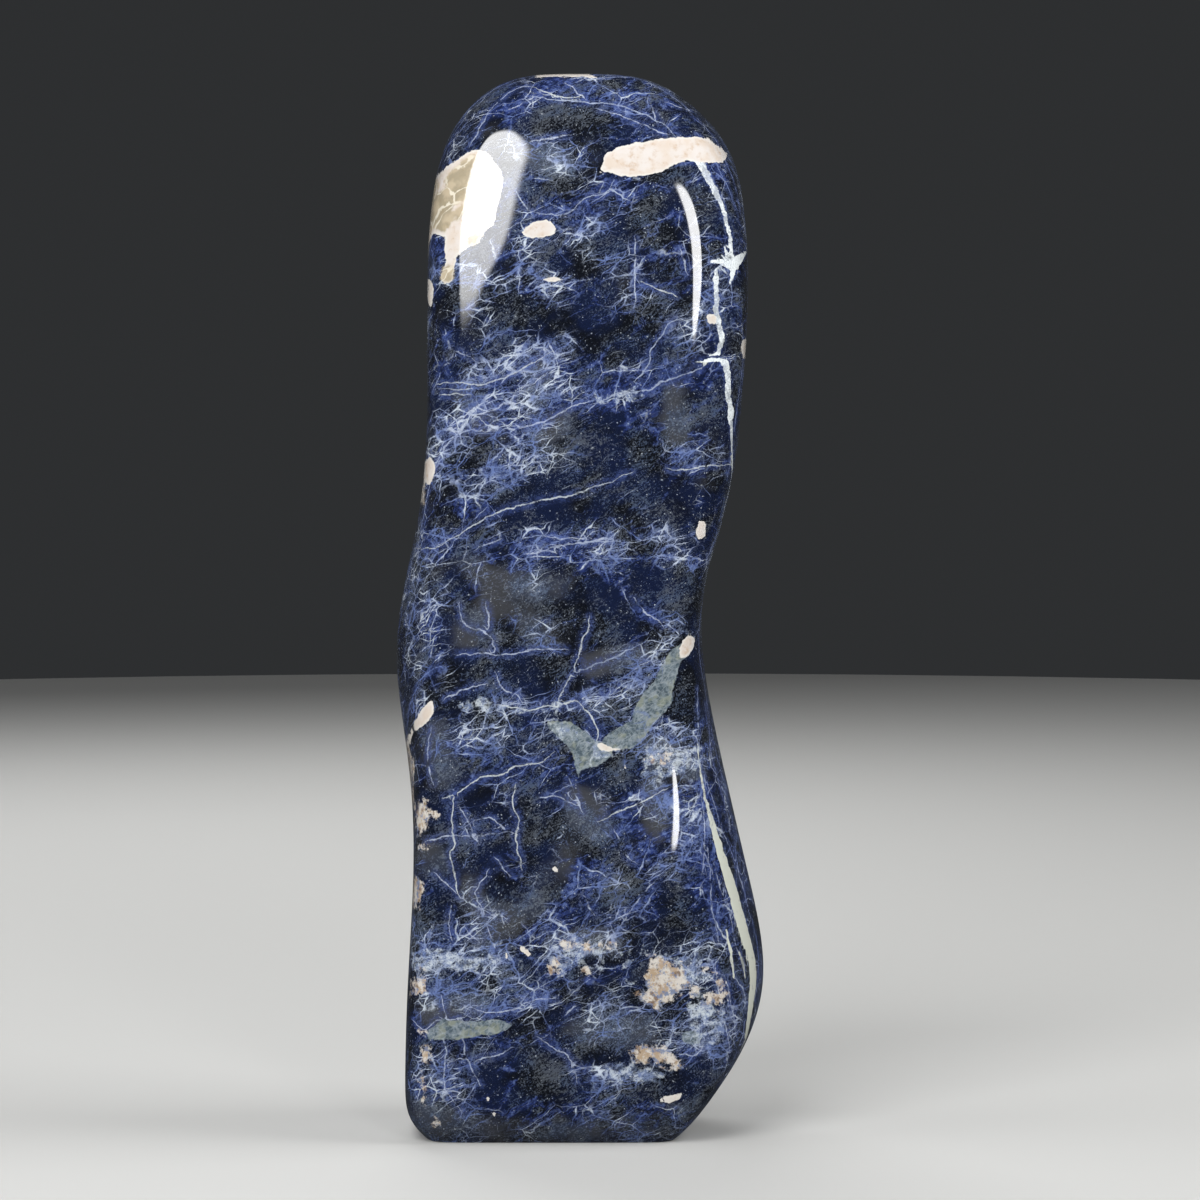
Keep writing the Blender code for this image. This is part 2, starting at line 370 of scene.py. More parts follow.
def inside_by(across, up, outline):
    """How far inside the outline the place is, less than nothing outside it."""
    closest, crossings = 1e9, 0
    for k, (x1, y1) in enumerate(outline):
        x0, y0 = outline[k - 1]
        dx, dy = x1 - x0, y1 - y0
        share = ((across - x0) * dx + (up - y0) * dy) / (dx * dx + dy * dy)
        share = min(1, max(0, share))
        closest = min(closest, hypot(across - x0 - share * dx, up - y0 - share * dy))
        if (y0 > up) != (y1 > up) and across < x0 + (up - y0) * dx / dy:
            crossings += 1
    return closest if crossings % 2 else -closest


def ragged(outline):
    """The outline rounded and pushed in and out, so that it has no straight run."""
    made = []
    for across, up in smooth_route((*outline, outline[0]), RAGGED_STEP)[:-1]:
        push = noise.noise_vector(Vector((across, up, 0)) / 7) * RAGGED_PUSH
        push += noise.noise_vector(Vector((across, up, 9)) / 2.5)
        made.append((across + push.x, up + push.y))
    return made


def inclusion(kind, view, *outlines):
    depth = inclusion_depth[kind]
    margin = INCLUSION_REACH / view.scale
    if view is not photo:
        outlines = [ragged(outline) for outline in outlines]
    for outline in outlines:
        left, right = min(p[0] for p in outline) - margin, max(p[0] for p in outline) + margin
        low, high = min(p[1] for p in outline) - margin, max(p[1] for p in outline) + margin
        for i, (across, up) in enumerate(seen[view]):
            if left < across < right and low < up < high and facing[view][i] > HORIZON:
                inside = inside_by(across, up, outline) * view.scale
                depth[i] = max(depth[i], min(inside, facing[view][i] * HORIZON_FADE))


def blob(across, up, wide, high, turn=0):
    """An outline like a squashed circle, for a small inclusion."""
    made = []
    for k in range(BLOB_CORNERS):
        angle = radians(360 * k / BLOB_CORNERS)
        bulge = 1 + BLOB_BULGE * noise.noise(Vector((across, up, 3 * k)))
        x, y = cos(angle) * wide / 2 * bulge, sin(angle) * high / 2 * bulge
        made.append((across + x * cos(turn) - y * sin(turn), up + x * sin(turn) + y * cos(turn)))
    return made


views = (photo, right_side, back_side, left_side)
seen = {view: [view.place(point) for point in points] for view in views}
facing = {view: [view.faces(p, n) for p, n in zip(points, normals)] for view in views}

# The cream band across the upper right, the patch round the upper left and the oval between them
CREAM_BAND = (
    (599.5, 172), (604, 160), (606, 154), (621, 145.5), (642, 143), (657, 139), (682, 137), (708, 138),
    (719, 147), (728, 154), (723, 163), (709, 162), (699, 161), (687.5, 161), (672, 166), (659.5, 172),
    (642, 177), (621, 176), (611, 172),
)
CREAM_PATCH = (
    (428, 196), (438, 174), (447, 167), (454, 161), (469, 152.5), (478, 150), (486, 152), (494, 160),
    (500, 171), (503, 183), (500, 198), (497, 213), (495, 224), (484, 231), (479, 241), (466, 249),
    (456, 256), (454, 268), (452, 281), (445, 284), (440, 277), (446, 262), (444, 250), (446, 240),
    (444, 231), (439, 226), (428, 232),
)
CREAM_OVAL = (
    (522.6, 232.8), (525, 228.4), (531.6, 224.5), (536.7, 221.4), (545.6, 219.4), (552, 222),
    (557, 228.4), (554.5, 233.5), (547, 237.3), (538, 238), (531.6, 239.2), (526.5, 238),
)
PATCH_CHIP = ((428, 279), (432, 281), (434, 289), (433, 300), (431, 308), (428, 304))
CROWN_CHIP = ((531, 78), (552, 71), (584, 71), (601, 79), (580, 76.5), (556, 76.5))
BLUE_BELT_CHIP = ((543, 279), (552, 276.5), (565, 277), (563, 281), (550, 282))
WAIST_CHIP = ((697, 526), (700, 521), (705, 522), (707, 530), (704, 538), (699, 540), (696, 534))
RIGHT_EDGE_CHIP = ((742, 341), (747, 338), (748, 356), (743, 358), (741, 350))
inclusion("cream", photo, CREAM_BAND, CREAM_PATCH, CREAM_OVAL, PATCH_CHIP, CROWN_CHIP, BLUE_BELT_CHIP,
          WAIST_CHIP, RIGHT_EDGE_CHIP)
# The small pieces further down
LEFT_EDGE_CHIP = ((423, 461), (431, 457), (435, 464), (434, 478), (430, 485), (424, 484))
LEFT_EDGE_TAIL = ((421, 484), (425, 485), (423.5, 503), (419, 503))
WAIST_LENS = (
    (432, 701), (434.6, 711), (431, 718.6), (420.6, 727.6), (414, 731), (415.5, 721), (422, 707),
)
WAIST_LENS_TAIL = ((412, 728), (414, 730), (410, 738), (409, 750), (408, 760), (406, 745), (408, 735))
V_TIP = ((681, 643), (689, 634), (694, 639), (694, 648), (687.5, 656), (680, 658), (679, 650))
V_JOINT = ((597, 743), (603, 744), (612, 747.5), (630, 751), (618, 752.5), (608, 752), (600, 750))
FOOT_CHIP = ((658, 1101), (666, 1096), (681, 1093), (680, 1099), (669, 1104))
inclusion("cream", photo, LEFT_EDGE_CHIP, LEFT_EDGE_TAIL, WAIST_LENS, WAIST_LENS_TAIL, V_TIP, V_JOINT,
          FOOT_CHIP)
# Small round ones: across, up, how wide and how high
CREAM_SPECKS = (
    (556, 869, 6, 6), (507, 955, 5, 5), (528, 953, 7, 6), (522, 948, 4, 4), (626, 766, 5, 5),
    (488, 1099, 5, 5), (494, 1114, 5, 5), (652, 757, 7, 5), (646, 760, 5, 5), (712, 319, 10, 12),
)
inclusion("cream", photo, *[blob(*speck) for speck in CREAM_SPECKS])
# What stains the cream patch, the crumbly patches low on the front, and the pale clouds round them
TAN_STAINS = (
    ((478, 155), (474, 166), (471, 175), (469.7, 186), (467, 200), (461, 201.6), (455, 205),
     (448.7, 204), (442, 199), (441, 193), (444, 186), (446, 178), (449, 172), (456, 166), (462, 161),
     (471, 157)),
    ((446.8, 209), (456, 209.5), (465, 204), (464, 212), (458.9, 217), (451, 224.5), (446, 229),
     (440, 223), (436, 214), (438, 207)),
    ((428, 190), (437, 180), (439, 187), (436, 198), (433, 212), (431, 228), (427, 228)),
    ((441, 268), (446, 265), (454, 268), (453, 278), (446, 283), (440, 279)),
    ((466, 238), (478, 230), (481, 236), (474, 244), (466, 247)),
)
inclusion("tan", photo, *TAN_STAINS)
STAINED_PATCHES = (
    ((411, 879), (416, 875), (423, 882), (422, 900), (416, 909), (411, 908)),
    ((412, 979), (418, 976), (424, 981), (424, 991), (419, 996), (412, 994)),
    ((422, 1052), (427, 1047), (431, 1053), (430, 1064), (425, 1068), (422, 1062)),
    ((423, 1088), (426, 1086), (427.6, 1094), (426, 1104), (423, 1102)),
    ((431, 1122), (435, 1119), (439, 1123), (435, 1127)),
    ((645, 974), (655, 967), (668, 962), (682, 968), (687, 980), (682, 992), (672, 999), (658, 1007),
     (645, 1004), (641, 997), (634, 994), (646, 990)),
    ((683, 986), (692, 984), (700, 988), (692, 992)),
    ((706, 994), (716, 990), (728, 992), (722, 1004), (707, 1003)),
    ((690, 966), (708, 967), (720, 972), (706, 972)),
    ((630, 1052), (640, 1048), (653, 1045), (664, 1049), (673, 1054), (680, 1062), (676, 1068),
     (664, 1060), (652, 1059), (645, 1066), (637, 1068), (634, 1060)),
    ((546, 965), (554, 961), (562, 966), (560, 974), (551, 976), (545, 972)),
    ((562, 942), (570, 939), (574, 946), (568, 951), (561, 950)),
    ((582, 946), (588, 943), (592, 947), (586, 951)), ((598, 943), (606, 941), (612, 945), (606, 948)),
    ((582, 970), (590, 967), (595, 970), (588, 974)),
    ((648, 954), (660, 956), (668, 962), (661, 969), (650, 968)),
    ((417, 804), (424, 800), (430, 808), (428, 820), (421, 832), (415, 830)),
    ((431, 812), (437, 810), (441, 815), (435, 821)),
)
inclusion("stained", photo, *STAINED_PATCHES, LEFT_EDGE_TAIL)
MILKY_PATCHES = (
    ((640, 750), (655, 744), (680, 748), (701, 744), (703, 765), (690, 772), (672, 775), (655, 788),
     (642, 775)),
    ((545, 962), (570, 944), (600, 938), (622, 946), (600, 958), (575, 962), (560, 980)),
    ((640, 950), (668, 955), (700, 960), (712, 975), (690, 985), (660, 972)),
    ((690, 1005), (712, 1000), (728, 1015), (722, 1040), (700, 1050), (690, 1030)),
    ((604, 1066), (640, 1062), (668, 1074), (650, 1084), (620, 1082)),
    ((410, 950), (440, 946), (470, 956), (500, 952), (496, 968), (450, 972), (414, 972)),
    ((450, 702), (475, 698), (520, 706), (560, 703), (556, 712), (500, 712), (455, 708)),
    ((592, 400), (620, 388), (640, 386), (640, 396), (612, 404)),
    ((545, 722), (556, 719), (568, 722), (578, 732), (574, 742), (562, 740), (552, 732)),
    ((596, 742), (610, 745), (622, 750), (612, 760), (598, 758), (588, 766), (590, 752)),
)
inclusion("milky", photo, *MILKY_PATCHES)


def scatter(kind, seed, count, spread, smallest, largest, start, end):
    """Small blobs of that kind, at random along the line from start to end in the photograph."""
    drop = Random(seed)
    for _ in range(count):
        share = drop.random()
        across = start[0] + share * (end[0] - start[0]) + drop.gauss(0, spread)
        up = start[1] + share * (end[1] - start[1]) + drop.gauss(0, spread)
        wide = drop.uniform(smallest, largest)
        high = wide * drop.uniform(0.4, 0.9)
        inclusion(kind, photo, blob(across, up, wide, high, drop.uniform(-0.6, 0.1)))


# Each scatter: kind, seed, count, spread, smallest, largest, and where it starts and ends
SCATTERS = (
    ("stained", 1, 12, 5, 4, 10, (545, 968), (620, 942)),
    ("stained", 2, 12, 6, 4, 10, (640, 962), (726, 998)),
    ("stained", 3, 9, 5, 4, 9, (632, 1056), (684, 1066)),
    ("stained", 4, 6, 3, 4, 9, (648, 762), (668, 750)),
    ("stained", 5, 7, 3, 4, 9, (420, 805), (422, 850)),
    ("stained", 6, 6, 3, 3, 7, (418, 960), (426, 1120)),
    ("milky", 7, 16, 9, 4, 12, (412, 962), (540, 950)),
    ("milky", 8, 16, 10, 4, 12, (560, 955), (720, 990)),
    ("milky", 9, 10, 8, 4, 10, (600, 700), (690, 620)),
)
for scattered in SCATTERS:
    scatter(*scattered)

# The grey-green V across the middle, and a belt and a chip of the same stone low on the front
V_LEFT_ARM = (
    (544, 724), (548, 721), (568.6, 721), (577.5, 726), (590, 736), (601, 744), (617, 749), (610, 758),
    (600, 764), (586, 768), (579, 777), (577, 770), (573.7, 757), (568.6, 747), (556, 735),
)
V_RIGHT_ARM = (
    (601, 745), (605, 738), (616, 728), (631, 721), (634, 711), (639, 699.5), (647, 689), (654, 682),
    (659.5, 670), (666, 657), (672, 650), (681, 643), (689, 634), (693, 639), (694, 648), (687.5, 656),
    (680, 661), (677, 671), (673.5, 688), (672, 701), (666, 711), (656, 721), (647, 733), (639, 743),
    (631, 749), (617, 749), (608, 750),
)
GREY_BELT = (
    (426, 1031), (444, 1019), (461, 1021), (501, 1020), (511, 1026), (500, 1033), (461, 1039),
    (428, 1039),
)
GREY_CHIP = ((683, 1032), (695, 1030), (703, 1035), (700, 1043), (688, 1045), (681, 1040))
inclusion("grey", photo, V_LEFT_ARM, V_RIGHT_ARM, GREY_BELT, GREY_CHIP)

# The sides and the back, which carry the same kinds of marking: streaks that run steeply down the sides and
# flatter across the back, and inclusions that reach round from the front. Each set of streaks has its view,
# how many they are, how steep in degrees, and how far to each side of the middle they lie.
STREAKS = ((right_side, 30, 74, 30), (left_side, 26, 66, 30), (back_side, 30, 30, 42))
dice = Random(11)
for view, count, steepness, reach in STREAKS:
    for streak in range(count):
        lean = radians(steepness + dice.uniform(-16, 16))
        length = dice.uniform(14, 60)
        across, up = dice.uniform(-reach, reach), dice.uniform(15, 285)
        sway = dice.uniform(-3, 3)
        route = [(across + cos(lean) * length * share - sin(lean) * sway * share * (1 - share) * 4,
                  up + sin(lean) * length * share + cos(lean) * sway * share * (1 - share) * 4)
                 for share in (0, 0.33, 0.67, 1)]
        width, white = dice.uniform(0.25, 0.6), dice.uniform(0.1, 0.7)
        if all(skin.ray_cast(*view.ray(*spot))[0] for spot in route):
            vein("bold" if streak % 4 == 0 else "fine", view, (route,), width, white)
BACK_VEINS = (
    ((-38, 96, 0.6), (-26, 104, 1.4), (-12, 107, 2.2), (2, 114, 1.8), (14, 124, 2.6), (28, 129, 1.6),
     (40, 138, 0.6)),
    ((-6, 292, 0.6), (2, 270, 1.6), (4, 246, 2.2), (11, 224, 1.4), (12, 204, 0.7)),
)
vein("bold", back_side, BACK_VEINS, width=1, white=0.95)
LEFT_VEIN = (
    ((-24, 30, 0.6), (-20, 58, 1.8), (-13, 84, 2.8), (-8, 108, 1.8), (-7, 132, 0.6)),
)
vein("bold", left_side, LEFT_VEIN, width=1, white=0.9)
LEFT_CREAM = (
    ((35, 268), (22, 273), (4, 267), (-9, 257), (-4, 248), (8, 247), (20, 254), (36, 257)),
    ((-16, 186), (-22, 189), (-29, 184), (-27, 177), (-18, 174), (-12, 177)),
)
inclusion("cream", left_side, *LEFT_CREAM)
LEFT_TAN = ((31, 264), (20, 267), (11, 262), (14, 256), (24, 256), (31, 258))
inclusion("tan", left_side, LEFT_TAN)
LEFT_STAINED = (
    ((24, 106), (12, 112), (-2, 108), (2, 98), (14, 92), (24, 96)),
    ((-14, 214), (-22, 220), (-30, 214), (-26, 205), (-16, 204)),
)
inclusion("stained", left_side, *LEFT_STAINED)
RIGHT_CREAM = ((13, 262), (20, 268), (31, 264), (34, 256), (24, 250), (15, 252))
inclusion("cream", right_side, RIGHT_CREAM)
RIGHT_STAINED = (
    ((12, 44), (18, 51), (27, 57), (33, 52), (31, 45), (21, 40)),
    ((12, 196), (20, 201), (28, 196), (22, 188)),
)
inclusion("stained", right_side, *RIGHT_STAINED)
BACK_CREAM = (
    ((-34, 240), (-22, 246), (-8, 244), (6, 250), (10, 243), (0, 236), (-14, 233), (-30, 232)),
    ((18, 74), (27, 79), (36, 76), (33, 67), (22, 66)),
    ((-30, 176), (-24, 180), (-20, 175), (-26, 170)),
)
inclusion("cream", back_side, *BACK_CREAM)
BACK_STAINED = ((-24, 36), (-8, 44), (12, 42), (24, 36), (16, 27), (-4, 30), (-18, 26))
inclusion("stained", back_side, BACK_STAINED)
BACK_GREY = ((-6, 196), (8, 190), (22, 192), (34, 200), (30, 207), (18, 200), (6, 199), (-4, 204))
inclusion("grey", back_side, BACK_GREY)

# Soft zones: where the stone is bluer, clouded, full of pale joints, or dark. The clouded zone also holds
# painted reflections of the soft boxes and the floor, as grey haze. Each is a route, how strong the zone is
# there, and how far it spreads in millimetres.
ZONES = ("blue", "haze_and_reflection", "net", "dark")
FRONT_ZONES = (0.22, 0.15, 0.08, 0.10)  # what the front has where no route says otherwise
OTHER_ZONES = (0.42, 0.2, 0.42, 0.2)  # what the sides and the back have, before it drifts
zone_strength = []
for point, faced in zip(points, facing[photo]):
    front = min(1, max(0, (faced - 0.02) / 0.3))
    drift = noise.noise_vector(point / (38 * MM)) + 0.4 * noise.noise_vector(point / (15 * MM))
    drifts = (drift.x, drift.y, drift.z, drift.x - drift.z)
    elsewhere = [usual + 0.5 * shift for usual, shift in zip(OTHER_ZONES, drifts)]
    zone_strength.append([front * f + (1 - front) * e for f, e in zip(FRONT_ZONES, elsewhere)])


def zone(kind, view, routes, strength, spread):
    number = ZONES.index(kind)
    reach = spread / view.scale
    for route in routes:
        left, right = min(p[0] for p in route) - reach, max(p[0] for p in route) + reach
        low, high = min(p[1] for p in route) - reach, max(p[1] for p in route) + reach
        for i, (across, up) in enumerate(seen[view]):
            if not (left < across < right and low < up < high and facing[view][i] > 0):
                continue
            closest = min(away_from(across, up, route[max(0, k - 1)], route[k]) for k in range(len(route)))
            if closest < reach:
                share = 1 - (closest / reach) ** 2
                values = zone_strength[i]
                values[number] += strength * share * share * min(1, facing[view][i] * 4)


def away_from(across, up, start, end):
    """How far the place is from the line between two points."""
    dx, dy = end[0] - start[0], end[1] - start[1]
    length = dx * dx + dy * dy
    share = ((across - start[0]) * dx + (up - start[1]) * dy) / length if length else 0
    share = min(1, max(0, share))
    return hypot(across - start[0] - share * dx, up - start[1] - share * dy)


BLUE_POCKETS = (
    ((720, 173),), ((488, 467),), ((462, 510), (480, 508)), ((681, 453),), ((698, 437),),
    ((558, 548), (610, 545)), ((605, 562), (628, 588)), ((503, 563), (525, 563)),
    ((431, 620), (431, 650)), ((518, 775),), ((570, 893), (605, 868)), ((520, 935), (565, 916)),
    ((645, 903), (666, 900)), ((698, 900),), ((696, 790), (690, 880)), ((500, 1040), (508, 1078)),
    ((645, 1112), (690, 1118)), ((528, 286), (574, 285)), ((605, 690), (618, 686)),
    ((640, 640), (650, 600)), ((434, 236), (440, 248)), ((640, 190), (628, 197)),
    ((706, 700), (715, 745), (735, 810), (752, 890)), ((704, 800), (712, 870), (725, 930)),
)
zone("blue", photo, BLUE_POCKETS, strength=0.9, spread=5)
BLUE_BELTS = (
    ((592, 404), (621, 393), (649, 390), (675, 378), (709, 366)), ((474, 431), (537, 424), (590, 401)),
    ((540, 214), (575, 208), (613, 182)), ((505, 100), (560, 90), (640, 100), (680, 128)),
    ((470, 750), (500, 770), (560, 760)), ((630, 790), (650, 870)), ((600, 560), (650, 560)),
    ((430, 1090), (640, 1115)), ((500, 1010), (560, 990)), ((690, 760), (700, 850)),
    ((560, 900), (600, 870)), ((440, 400), (560, 360)), ((440, 545), (560, 550)),
    ((650, 860), (690, 830)),
)
zone("blue", photo, BLUE_BELTS, strength=0.6, spread=9)
# A long clouded streak across the lower front, and along the foot grey haze that is a painted floor
# reflection
LONG_HAZE_AND_FLOOR_REFLECTION = (
    ((590, 805), (562, 856), (540, 900), (485, 945)), ((420, 1115), (440, 1118)),
    ((430, 1130), (520, 1134), (620, 1136), (690, 1114)),
)
zone("haze_and_reflection", photo, LONG_HAZE_AND_FLOOR_REFLECTION, strength=0.6, spread=9)
# Grey haze patches: partly clouding in the stone, partly painted reflections of the soft boxes on the flat
# front
HAZE_AND_REFLECTION_PATCHES = (
    ((458, 395), (480, 420)), ((472, 560), (500, 595)), ((465, 640), (500, 600)),
    ((430, 850), (500, 920)), ((440, 740), (440, 780)), ((590, 1030), (640, 1030)),
    ((545, 640), (520, 600)), ((510, 580), (560, 590)),
)
zone("haze_and_reflection", photo, HAZE_AND_REFLECTION_PATCHES, strength=0.8, spread=8)
# Painted reflections: faint grey where the soft boxes show in the flat front and beside their highlights
PAINTED_REFLECTIONS = (
    ((590, 664), (640, 655)), ((673, 395), (676, 435)), ((650, 745), (695, 775)),
    ((540, 365), (535, 395)), ((430, 1012), (480, 1004)), ((560, 945), (610, 940)),
    ((565, 420), (540, 435)), ((652, 790), (655, 830)), ((520, 150), (560, 165)),
    ((575, 800), (600, 830)),
)
zone("haze_and_reflection", photo, PAINTED_REFLECTIONS, strength=1.1, spread=6)
NET_BAND = (
    ((478, 372), (520, 362), (562, 345)), ((440, 425), (480, 408), (540, 392), (566, 385)),
    ((436, 448), (500, 436), (560, 425)), ((500, 470), (540, 455)),
)
zone("net", photo, NET_BAND, strength=0.8, spread=7)
NET_BELTS = (
    ((420, 480), (480, 482), (560, 470)), ((432, 545), (500, 552), (612, 548)),
    ((600, 560), (640, 548), (690, 560)), ((415, 570), (430, 640), (428, 690)),
    ((470, 728), (520, 740), (556, 752)), ((660, 790), (690, 830)),
    ((600, 880), (640, 890), (690, 850)), ((680, 1020), (705, 1045)), ((600, 1085), (650, 1080)),
    ((520, 150), (570, 160), (600, 185)), ((700, 210), (712, 300)), ((650, 310), (690, 330)),
    ((470, 900), (500, 930)), ((440, 990), (540, 1000)), ((430, 1050), (460, 1100)),
)
zone("net", photo, NET_BELTS, strength=0.5, spread=9)
NET_THREADS = (
    ((494, 706), (550, 706), (600, 698), (636, 690)), ((632, 716), (660, 728), (690, 735)),
    ((655, 640), (680, 618)), ((665, 449), (686, 459)), ((597, 690), (638, 684)),
    ((640, 745), (700, 760)), ((410, 960), (500, 958)), ((560, 950), (620, 945)),
    ((571, 240), (600, 226), (630, 240), (612, 258), (577, 254)), ((431, 275), (500, 280), (571, 283)),
    ((690, 980), (715, 985)),
)
zone("net", photo, NET_THREADS, strength=0.8, spread=5)
NET_KNOTS = (
    ((648, 722), (690, 738)), ((650, 672), (676, 634)), ((562, 948), (615, 946)),
    ((700, 1010), (716, 1036)), ((470, 380), (560, 350)), ((600, 1076), (650, 1082)),
)
zone("net", photo, NET_KNOTS, strength=0.8, spread=5)
NET_VEIL = (
    ((560, 930), (720, 960)), ((600, 1010), (720, 1030)), ((430, 950), (560, 990)),
)
zone("net", photo, NET_VEIL, strength=0.35, spread=14)
DARK_POCKETS = (
    ((460, 541), (476, 539)), ((545, 487), (563, 487)), ((594, 240), (620, 242)),
    ((540, 120), (600, 115)), ((510, 310), (560, 330)), ((600, 340), (660, 345)),
    ((575, 420), (640, 450)), ((585, 470), (650, 480)), ((530, 600), (600, 600)),
    ((470, 660), (570, 672)), ((440, 800), (450, 900)), ((480, 800), (500, 900)),
    ((530, 800), (545, 880)), ((640, 575), (680, 590)), ((690, 600), (692, 700)),
    ((600, 625), (650, 630)), ((520, 510), (640, 505)), ((505, 1060), (540, 1080)),
    ((658, 1085), (680, 1083)), ((640, 885), (680, 905)), ((440, 380), (432, 430)),
    ((450, 700), (470, 695)), ((660, 690), (690, 705)), ((600, 770), (625, 775)),
    ((470, 1090), (560, 1090)),
)
zone("dark", photo, DARK_POCKETS, strength=0.9, spread=7)

# The places of all these are kept on the mesh, as what the finish below reads
for kind, samples in vein_samples.items():
    tree = KDTree(len(samples))
    for i, sample in enumerate(samples):
        tree.insert(sample[0], i)
    tree.balance()
    lines, whites = [], []
    for point in points:
        _, i, away = tree.find(point)
        spot, normal, half, white, ahead = samples[i]
        sideways = (point - spot).dot(ahead.cross(normal))
        lines += (sideways / MM, away / MM, half) if away < VEIN_REACH * MM else NO_VEIN
        whites.append(white)
    stone_mesh.attributes.new(kind + "_line", "FLOAT_VECTOR", "POINT").data.foreach_set("vector", lines)
    stone_mesh.attributes.new(kind + "_white", "FLOAT", "POINT").data.foreach_set("value", whites)
for kind, depth in inclusion_depth.items():
    stone_mesh.attributes.new(kind, "FLOAT", "POINT").data.foreach_set("value", depth)
for number, kind in enumerate(ZONES):
    values = [min(1.2, max(0, strengths[number])) for strengths in zone_strength]
    stone_mesh.attributes.new(kind, "FLOAT", "POINT").data.foreach_set("value", values)

# The finish: polished sodalite. Dark blue ground, full of short pale flecks and a broken net of healed
# cracks, under a high gloss. The pattern is in millimetres, on the object's own coordinates.
finish = bpy.data.materials.new("polished_sodalite")
finish.use_nodes = True
surface = finish.node_tree.nodes["Principled BSDF"]
wires = finish.node_tree.links


def node(kind, inputs, output=0, **settings):
    """A shader node's output. Its inputs are numbers, colours or the outputs of other nodes."""
    made = finish.node_tree.nodes.new("ShaderNode" + kind)
    for name, setting in settings.items():
        setattr(made, name, setting)
    for socket, value in inputs.items():
        if isinstance(value, bpy.types.NodeSocket):
            wires.new(value, made.inputs[socket])
        else:
            made.inputs[socket].default_value = value
    return made.outputs[output]


def maths(operation, *values):
    return node("Math", dict(enumerate(values)), operation=operation)


def times(*values):
    made = values[0]
    for value in values[1:]:
        made = maths("MULTIPLY", made, value)
    return made


def plus(*values):
    made = values[0]
    for value in values[1:]:
        made = maths("ADD", made, value)
    return made


def minus(value, taken):
    return maths("SUBTRACT", value, taken)


def off_middle(cloudy):
    return maths("ABSOLUTE", minus(cloudy, 0.5))


def rise(value, low, high):
    """0 below low and 1 above high, with a smooth step between. With low above high it falls instead."""
    limits = {"Value": value, "From Min": low, "From Max": high}
    return node("MapRange", limits, interpolation_type="SMOOTHSTEP")


def mixed(share, first, second):
    if isinstance(first, tuple):
        first = (*first, 1)
    if isinstance(second, tuple):
        second = (*second, 1)
    return node("Mix", {0: share, 6: first, 7: second}, output=2, data_type="RGBA")


def moved(vector, offset):
    return node("VectorMath", {0: vector, 1: offset}, operation="ADD")


def scaled(vector, size):
    return node("VectorMath", {0: vector, "Scale": size}, operation="SCALE")


def cloud(vector, size, detail=2.0, roughness=0.5, output=0):
    grade = {"Vector": vector, "Scale": 1 / size, "Detail": detail, "Roughness": roughness}
    return node("TexNoise", grade, output=output)


def warped(vector, size, strength, detail=2.0, roughness=0.5):
    """The place, pushed about by a noise of that size."""
    push = cloud(vector, size, detail, roughness, output=1)
    push = node("VectorMath", {0: push, 1: (0.5, 0.5, 0.5)}, operation="SUBTRACT")
    by_strength = {0: push, 1: (strength, strength, strength), 2: vector}
    return node("VectorMath", by_strength, operation="MULTIPLY_ADD")


def sheets(vector, across, length, thickness):
    """The place in thin sheets, squeezed along their upright, so that what is made on it is streaked."""
    turn = Vector(across).to_track_quat("Z", "Y").to_euler()
    squeeze = {"Vector": vector, "Rotation": turn, "Scale": (length, length, thickness)}
    return node("Mapping", squeeze, vector_type="TEXTURE")


def streaks(vector, across, length, thickness, detail, roughness=0.5):
    return cloud(sheets(vector, across, length, thickness), 1.0, detail, roughness)


def kept(name, output=2):
    return node("Attribute", {}, output=output, attribute_name=name)


place = scaled(node("TexCoord", {}, output=3), 1 / MM)
drifted = warped(warped(place, 16, 7), 3.2, 2.0)
# The haze zone is clouding in the stone and also painted reflections of the soft boxes and the floor
blue_zone, haze_and_reflection_zone, net_zone, dark_zone = kept("blue"), kept("haze_and_reflection"), kept("net"), kept("dark")


# Ground: near black cells, some millimetres across, full of fine pale grains. The stone between them is
# blue, in belts that run up to the right.
NEAR_BLACK = (0.0032, 0.0040, 0.0070)
BLACK_BLUE = (0.005, 0.009, 0.030)
# The veil greys are clouding in the stone and also the colour of painted reflections of the soft boxes and
# floor
VEIL_AND_REFLECTION_GREY = (0.046, 0.048, 0.054)
VEIL_AND_REFLECTION_BLUE = (0.038, 0.047, 0.072)
DEEP_BLUE = (0.003, 0.007, 0.040)
ROYAL_BLUE = (0.022, 0.038, 0.15)
CLEAR_BLUE = (0.10, 0.14, 0.30)
FLECK_GREY = (0.105, 0.120, 0.145)
FLECK_STEEL = (0.085, 0.115, 0.18)
FLECK_BLUE = (0.075, 0.11, 0.25)
FROST = (0.18, 0.22, 0.32)
SPARK = (0.34, 0.37, 0.41)
BELT_SLANT = (-0.42, 0.2, 0.9)
flow = warped(place, 9.0, 3.2)
crooked = warped(warped(flow, 3.0, 1.2), 0.9, 0.32)
puffs = streaks(drifted, (-0.45, 0.2, 0.87), 9.0, 4.5, 4, 0.6)
belts = streaks(drifted, BELT_SLANT, 22.0, 7.0, 3)
patches = node("SeparateXYZ", {"Vector": cloud(drifted, 12, 2, output=1)}).node.outputs
grain = cloud(crooked, 0.5, 3, 0.75)
clots = cloud(flow, 1.6, 3, 0.65)
fibre = streaks(crooked, (-0.5, 0.25, 0.83), 2.4, 0.5, 2, 0.65)


def cells(slant, length, height, shift):
    """How far a place is from the edge of its cell, in millimetres. A cell is longest along the slant."""
    laid = sheets(moved(crooked, (shift, 0, shift)), slant, length, height)
    edge = node("TexVoronoi", {"Vector": laid, "Scale": 1.0, "Randomness": 1.0}, feature="DISTANCE_TO_EDGE")
    return times(edge, height)


